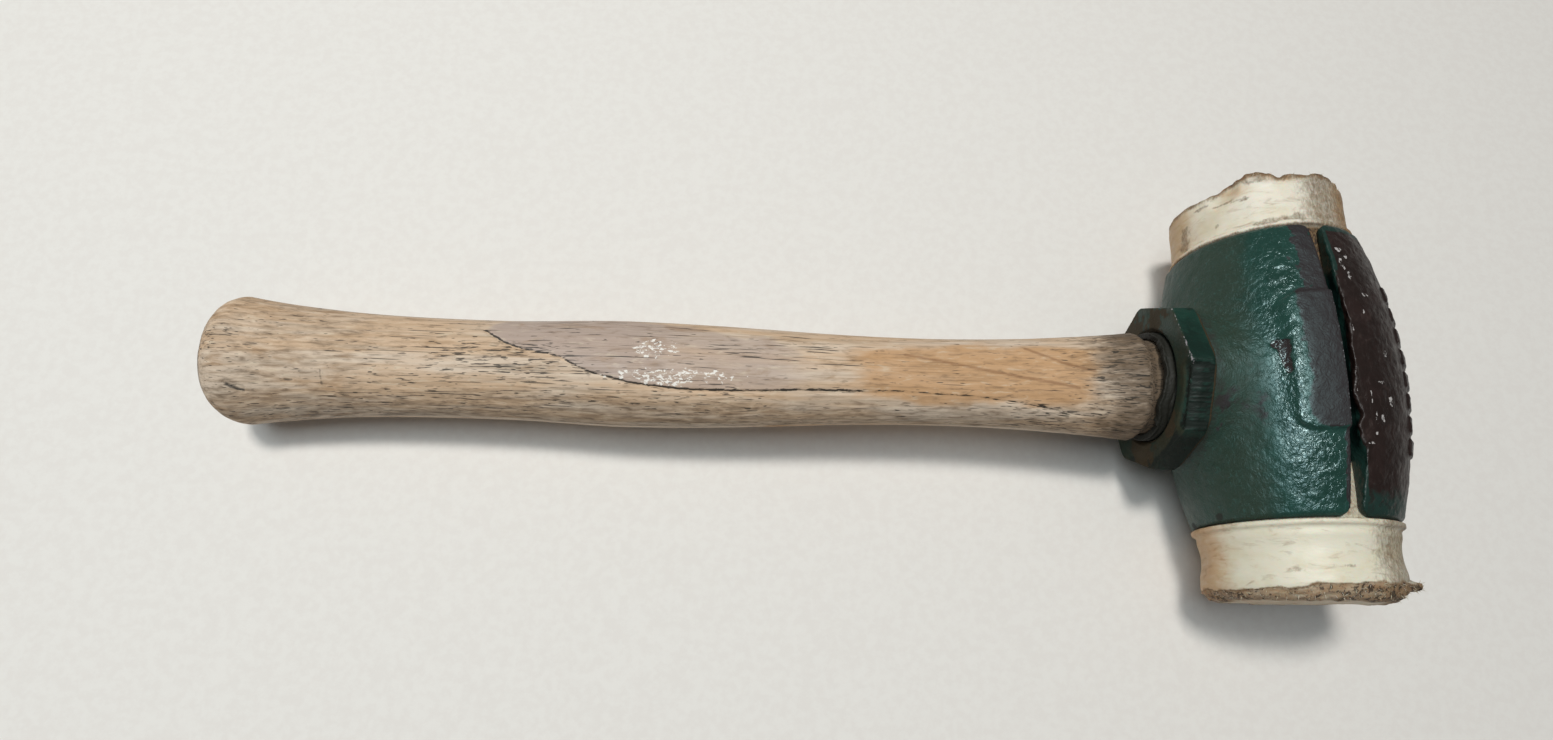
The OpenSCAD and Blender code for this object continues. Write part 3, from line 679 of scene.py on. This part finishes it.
def makeLowerFace():
    look = lowerFace
    piece = fineCopy("lower_face", "lowerFace", look)
    p, n = readPoints(piece.data), readNormals(piece.data)
    out = -p[:, 1]
    angle = headAngle(p)
    shown = ramp(out, 44.2, 46)
    around = (angle + 90) % 360 * 0.45  # mm along the rim, from its underside
    layers = np.stack([around, 2.4 * out, 0 * out], 1)
    border = np.interp(angle, *np.array(look["border"]).T)
    rim = ramp(out + (layeredNoise(p, 4, 42) - 0.5) * 2.4 - border, -0.7, 0.7) * ramp(headRadius(p), 17, 22)
    lip = 4 * rim * (1 - rim) * (out < 64)
    burr = ramp(out, 59.3, 60.5) * ramp(out, 62.6, 61.4) * ramp(headRadius(p), 22, 24.5) \
        * ramp(angle, 14, 31) * ramp(angle, 50, 38)
    p = p + n * (shown * (layeredNoise(p, 9, 41) - 0.5) * look["swell"]
                 + rim * ((layeredNoise(layers, 4.5, 43) - 0.6) * look["flakes"]
                          + (layeredNoise(layers, 1.6, 48) - 0.5) * look["tufts"])
                 + burr * look["burr"] * (0.6 + 0.8 * layeredNoise(p, 1.5, 44)))[:, None]
    writePoints(piece.data, p)
    struck = ramp(out, 64.4, 65.3)
    side = ramp(headRadius(p), 21, 23.5)
    towardsCrown, towardsButt = side * ramp(angle, 0, 40), side * ramp(angle, 146, 186) * ramp(angle, 320, 230)
    paint(piece.data, {
        "stainAndBounceLight": np.maximum.reduce([towardsButt * 0.95, struck * 0.6, rim * 0.5]),
        # Painted shade: the side towards the crown is darkened with the dirt colour, partly dirt and partly the shade
        # away from the lamp; the nylon inside the split is darkened as painted shade
        "grimeAndShade": np.maximum.reduce([ramp(out + 1.2 * layeredNoise(p, 2, 46), 45.2, 44.2) * 0.6,
                                    spots(p, look["soil"], 47, 0.9, 0.4) * 0.55, struck * 0.4,
                                    towardsCrown * ramp(angle, 94, 66) * 0.75, ramp(out, 43.6, 42.6) * 0.7,
                                    lip * 0.8]),
        "frayed": np.maximum.reduce([rim * (0.5 + 0.9 * layeredNoise(layers, 5, 49)), burr,
                                     lip * (0.6 + 0.6 * layeredNoise(layers, 6, 50))])})
    finishPiece(piece, nylonFinish["lower"], "lower", "lower_face")
    edge = rim * ramp(out, 65.4, 64.6) * (0.2 + ramp(p[:, 2], -5, 10)) + 3 * burr
    roots, normals = pickRoots(p, n, edge, look["frayCount"], look["fraySeed"])
    addFray("lowerFray", roots, normals, look, "lower", "lower_face")


nylonFinish = {"upper": castNylon(upperFace), "lower": castNylon(lowerFace)}


# The turned handle, weathered ash: rings of points from the butt to the crown. Lengths are from the
# middle of the head, and widths are across the handle
handle = {
    "rings": 680, "sides": 232, "buttEdgeX": 318, "buttEdge": 9, "buttFace": 21.2, "butt": 39.2,
    "waistX": 242, "waist": 30.4, "flare": 2.8, "swellX": 202, "swell": 32.6, "thinX": 110, "thin": 27,
    "shoulderX": 47, "shoulder": 33.4, "shoulderPower": 1.95, "mouthX": 42.3, "mouth": 28.76,
    "flatness": 0.85, "section": 2.2, "tenon": ((41, 14.68, 12.48), (30, 14.28, 14.28), (-6, 13.28, 13.28),
                                                (-24, 14.4, 14.4)),
    "fibre": 0.2, "wave": 0.45, "crackDepth": 0.35, "nickDepth": 0.5,
    "pith": (0, 0.021, -0.017), "slope": (0, 0.02, -0.035), "ringMm": 2.3,
    "tan": "#cbae90", "silver": "#d2c2b0", "brown": "#92714e", "grey": "#9f8c76", "plum": "#aa988e",
    "bare": "#be9264", "figure": "#7d5636", "dark": "#7a624a", "pale": "#d6c8b0", "endGrain": "#7d7066",
    "dirtAndShade": "#54432f", "check": "#28231c", "fleck": "#ece8e0",
}
marks = {  # lines over the top of the handle, through points in x and y
    "crack": ((-244.1, 8.5), (-237.9, 4.6), (-232, 2.4), (-225, 1.3), (-220.5, 0.1), (-216.4, -2.3),
              (-210.7, -4.6), (-204.8, -5.9), (-200.2, -7.0), (-195.2, -7.6), (-185, -8.5),
              (-170.3, -8.4), (-158.6, -7.9), (-146.7, -7.3), (-131.9, -7.1)),
    "faint": ((-131.9, -7.1), (-118.4, -6.8), (-107.9, -7.3), (-97.5, -7.6), (-86.9, -8.8), (-77.9, -10.0),
              (-70.2, -11.4), (-61.2, -12.4)),
    "buttSplit": ((-324, -6.7), (-290, -5.6), (-258.2, -4.4)),
    "figure": ((-118.3, 4.4), (-107.9, 2.7), (-97.5, 0.7), (-87.2, -1.3), (-78.4, -2.7), (-66.7, -4.9)),
    "figureB": ((-81.8, 7.6), (-76.3, 5.1), (-69.3, 2.1), (-62.1, 0.3)),
    "bigNick": ((-315.6, -11.1), (-313.5, -11.9), (-311.2, -12.5)),
    "smallNick": ((-299.6, -9.1), (-297.7, -9.0)), "scratch": ((-289.6, -6), (-289.4, -10)),
    "lens": ((-250, 8), (-240, 11.5), (-230, 15), (-200, 15), (-175, 11), (-150, 5), (-132, -1.1)),
}


def handleHalf(x):
    h = handle
    if x > h["buttEdgeX"]:
        return h["buttFace"] / 2 + math.sqrt(max(0.0, h["buttEdge"] ** 2 - (x - h["buttEdgeX"]) ** 2))
    if x > h["waistX"]:
        t = (x - h["waistX"]) / (h["buttEdgeX"] - h["waistX"])
        return (h["waist"] + (h["butt"] - h["waist"]) * t ** h["flare"]) / 2
    for near, far, a, b in ((h["swellX"], h["waistX"], h["swell"], h["waist"]),
                            (h["thinX"], h["swellX"], h["thin"], h["swell"])):
        if x > near:
            return (a + (b - a) * (1 - math.cos(math.pi * (x - near) / (far - near))) / 2) / 2
    if x > h["shoulderX"]:
        t = (h["thinX"] - x) / (h["thinX"] - h["shoulderX"])
        return (h["thin"] + (h["shoulder"] - h["thin"]) * t ** h["shoulderPower"]) / 2
    t = max(0.0, (x - h["mouthX"]) / (h["shoulderX"] - h["mouthX"]))
    return (h["mouth"] + (h["shoulder"] - h["mouth"]) * (1 - math.cos(math.pi * t)) / 2) / 2


# Rings as (distance, half width, half depth), with shrinking ones over both ends
def handleRings():
    h = handle
    end = h["buttEdgeX"] + h["buttEdge"]
    rings = [(end, h["buttFace"] / 2 * k / 10, h["buttFace"] / 2 * k / 10 * h["flatness"]) for k in range(1, 10)]
    xs = [h["buttEdgeX"] + h["buttEdge"] * math.cos(math.pi / 2 * k / 30) for k in range(30)]
    xs += list(np.linspace(h["buttEdgeX"], h["mouthX"], h["rings"]))
    rings += [(x, handleHalf(x), handleHalf(x) * h["flatness"]) for x in xs]
    rings += list(h["tenon"])
    return rings + [(-26 - 0.01 * k, 14.4 * (1 - k / 12), 14.4 * (1 - k / 12)) for k in range(12)]


def makeHandle():
    h = handle
    rings = handleRings()
    turn = np.arange(h["sides"]) * 2 * math.pi / h["sides"]
    power = 2 / h["section"]
    acrossY = np.sign(np.cos(turn)) * np.abs(np.cos(turn)) ** power
    acrossZ = np.sign(np.sin(turn)) * np.abs(np.sin(turn)) ** power
    rows = []
    for x, halfY, halfZ in rings:
        y = halfY * (np.cos(turn) if x < 40 else acrossY)
        z = halfZ * (np.sin(turn) if x < 40 else acrossZ)
        rows.append(np.stack([np.full_like(y, -x), y, z], 1))
    p = np.concatenate(rows)
    atCrown = p[:, 0] > 25
    p[atCrown, 0] = np.sqrt((barrelRadius(p[atCrown, 1]) - 0.7) ** 2 - p[atCrown, 2] ** 2)
    sides = h["sides"]
    faces = [(k * sides + i, k * sides + (i + 1) % sides, (k + 1) * sides + (i + 1) % sides,
              (k + 1) * sides + i) for k in range(len(rings) - 1) for i in range(sides)]
    faces.append(tuple(range(sides - 1, -1, -1)))
    faces.append(tuple((len(rings) - 1) * sides + i for i in range(sides)))
    mesh = bpy.data.meshes.new("turnedHandle")
    mesh.from_pydata((p * mm).tolist(), [], faces)
    mesh.update()
    piece = addObject("turnedHandle", mesh)
    shapeHandle(mesh)
    paintHandle(mesh)
    finishPiece(piece, weatheredAsh(h), "front", "handle")


# Raised fibres, a slight bow, the crack and the nicks
def shapeHandle(mesh):
    p, n = readPoints(mesh), readNormals(mesh)
    grown = p * [1 / 14, 1, 1]
    body = ramp(p[:, 0], -44, -47)
    crack = ramp(fromLine(p, marks["crack"]), 0.7, 0.15) + 0.6 * ramp(fromLine(p, marks["faint"]), 0.6, 0.15)
    nick = ramp(fromLine(p, marks["bigNick"]), 1.0, 0.3) + 0.5 * ramp(fromLine(p, marks["smallNick"]), 0.8, 0.2)
    frayed = ramp(p[:, 0], -60, -46)
    fibres = (layeredNoise(grown, 1.5, 51) - 0.5) * (handle["fibre"] + 0.35 * frayed) \
        + (layeredNoise(grown, 9, 53) - 0.5) * handle["wave"]
    p = p + n * (body * (fibres - crack * handle["crackDepth"] - nick * handle["nickDepth"]))[:, None]
    t = np.clip((-p[:, 0] - 47) / 280, 0, 1)
    p[:, 1] += 0.46 * t * (2 * t - 1) - 0.53 * 4 * t * (1 - t)
    writePoints(mesh, p)


def paintHandle(mesh):
    p = readPoints(mesh)
    x, y = p[:, 0], p[:, 1]
    top = p[:, 2] > 0
    crackY = np.interp(x, *np.array(marks["crack"]).T)
    lensY = np.interp(x, *np.array(marks["lens"]).T)
    patches = layeredNoise(p * [0.4, 1, 1], 12, 55)
    drift = (layeredNoise(p * [0.5, 1, 1], 8, 57) - 0.5) * 2
    dense = top * ramp(x + 6 * drift, -268, -252) * ramp(x, -214, -224) * ramp(y, -7.5, -5) * ramp(y, 5.5, 3)
    streaks = top * ramp(x, -202, -190) * ramp(x, -122, -134) * ramp(y, -2.5, 0) * ramp(y, 9.5, 7)
    bareTop = ramp(x + 14 * drift, -150, -118) * ramp(x + 5 * drift, -54, -68) \
        * ramp(y + 3 * drift, -12, -7) * ramp(y + 3 * drift, 11, 6)
    bareBelow = ramp(patches, 0.5, 0.62) * ramp(x, -300, -240) * ramp(x, -60, -90)
    bare = np.where(top, bareTop, 0.8 * bareBelow)
    lens = top * ramp(y - crackY, -0.5, 0.3) * ramp(lensY - y + 3 * drift, -2, 2) * ramp(x, -247, -240) \
        * ramp(x, -128, -160) * (0.6 + 0.4 * ramp(x, -180, -215))
    nearNut = ramp(x + 6 * drift, -78, -48) * ramp(x, -38, -41)
    lowRight = top * ramp(y, -6, -11) * ramp(x, -96, -80) * ramp(x, -50, -60)
    # Painted shade: lowEdge darkens a strip of the top along the side towards the lower face with the dirt colour
    lowEdge = top * ramp(y + 2 * drift, -8, -13)
    atCrown = ramp(x, 20, 24)
    paint(mesh, {
        "crack": np.maximum.reduce([nearLine(p, marks["crack"]), nearLine(p, marks["faint"]) - 0.05,
                                    nearLine(p, marks["buttSplit"]) - 0.08]),
        "figure": np.maximum(nearLine(p, marks["figure"]), nearLine(p, marks["figureB"])),
        "checked": np.maximum.reduce([dense, 0.5 * ramp(patches, 0.4, 0.6) * (1 - bare) * (1 - lens),
                                      nearNut * 0.8, lowRight * 0.8]),
        "grooved": np.maximum.reduce([streaks * 1.1, dense * 0.9, 0.75 * ramp(patches, 0.35, 0.55) * (1 - bare),
                                      nearNut * 0.9]),
        "bare": np.maximum(bare, 0.4 * ramp(x + 10 * drift, -262, -285)), "plum": lens,
        "fleck": top * spots(p, ((-193, 3.4, 14, 8, 3.4, 5), (-186, -5, 13, 19, 2.8, 6)), 58, 0.9, 0.5),
        "grimeAndShade": np.maximum.reduce([nearNut * 0.75, ramp(x, -50, -43) * ramp(x, -38, -41), lowEdge * 0.4,
                                    ramp(x + 12 * drift, -245, -290) * 0.3, bare * 0.15,
                                    atCrown * 0.8]),
        "endGrain": np.maximum.reduce([ramp(x + drift, -322.5, -325.5), nearNut * 0.7, atCrown]),
        "nick": np.maximum.reduce([nearLine(p, marks["bigNick"]) - 0.08, nearLine(p, marks["smallNick"]) - 0.15,
                                   nearLine(p, marks["scratch"]) - 0.2])})


# The wedges keep their solids: edges broken a little, sawn wood and dull steel on them
def dressWedges():
    wood = wedgeFinish("sawn hardwood wedge", (12, 0.8, 0.5), "#8a6642", "#b99468", 0.0)
    steel = wedgeFinish("dull forged steel", (4, 4, 4), "#7d7a76", "#4f3a2c", 0.9)
    for name, material in (("wood_wedge", wood), ("steel_wedge_a", steel), ("steel_wedge_b", steel)):
        node = frame["nodes"][name]
        node.data.materials.clear()
        node.data.materials.append(material)
        soft = node.modifiers.new("broken edges", "BEVEL")
        soft.width = 0.2 * mm
        soft.segments = 2
    print("dressed the wedges")


makeRearHalf()
makeFrontHalf()
makeNut()
makeUpperFace()
makeLowerFace()
makeHandle()
dressWedges()


# A plain pale floor, a small warm lamp high up, and weak cool light from the left
studio = {"card": "#e4e1dc", "cardSpeck": "#e1ddd8", "sky": "#f3f4f6", "skyStrength": 0.13,
          "key": ((-0.22, 0.32, 1.45), 0.26, 13.5, (1.0, 0.97, 0.92)),
          "window": ((-0.44, 0.02, 1.25), 0.6, 6.5, (0.85, 0.95, 1.0))}


def makeFloor():
    half = 4.0
    mesh = bpy.data.meshes.new("floor")
    mesh.from_pydata([(-half, -half, 0), (half, -half, 0), (half, half, 0), (-half, half, 0)], [], [(0, 1, 2, 3)])
    floor = addObject("floor", mesh)
    material, tree, shader, place, painted = newMaterial("matt pale card")
    speck = addPatterns(tree, place, {"speck": ((3, 3, 3), 3.0, 0.0)})["speck"]
    base = addNode(tree, "ShaderNodeRGB")
    base.outputs[0].default_value = linear(studio["card"])
    colour = layOver(tree, base, ((None, speck, 1.0, 0.35, 0.65, 1.0, studio["cardSpeck"]),))
    dress(tree, shader, colour, (speck, 0.8, 0.9), (), ((speck, 0.1, 0.1),))
    mesh.materials.append(material)


def addLamp(name, place, size, power, colour):
    data = bpy.data.lights.new(name, "AREA")
    data.size = size
    data.energy = power
    data.color = colour
    lamp = addObject(name, data)
    lamp.location = place
    lamp.rotation_euler = (Vector((0.05, 0, 0)) - Vector(place)).to_track_quat("-Z", "Y").to_euler()


makeFloor()
world = bpy.data.worlds.new("studio")
world.use_nodes = True
world.node_tree.nodes["Background"].inputs[0].default_value = linear(studio["sky"])
world.node_tree.nodes["Background"].inputs[1].default_value = studio["skyStrength"]
bpy.context.scene.world = world
bpy.context.scene.view_settings.view_transform = "Standard"
addLamp("key", *studio["key"])
addLamp("window", *studio["window"])

# The photograph's viewpoint: a phone held about 25 cm above the handle, in the head's own frame
lensView = {"lens": 17.71, "shiftY": 0.0483, "place": (-159.566, -75.202, 227.166),
            "turn": (13.1943, -1.1775, 1.2881)}
camera = addObject("camera", bpy.data.cameras.new("camera"))
camera.data.lens = lensView["lens"]
camera.data.sensor_width = 36.0
camera.data.sensor_fit = "HORIZONTAL"
camera.data.shift_y = lensView["shiftY"]
camera.data.clip_start = 0.01
camera.matrix_world = layDown @ Matrix.LocRotScale(
    Vector(lensView["place"]) * mm, Euler([math.radians(v) for v in lensView["turn"]]), None)
bpy.context.scene.camera = camera
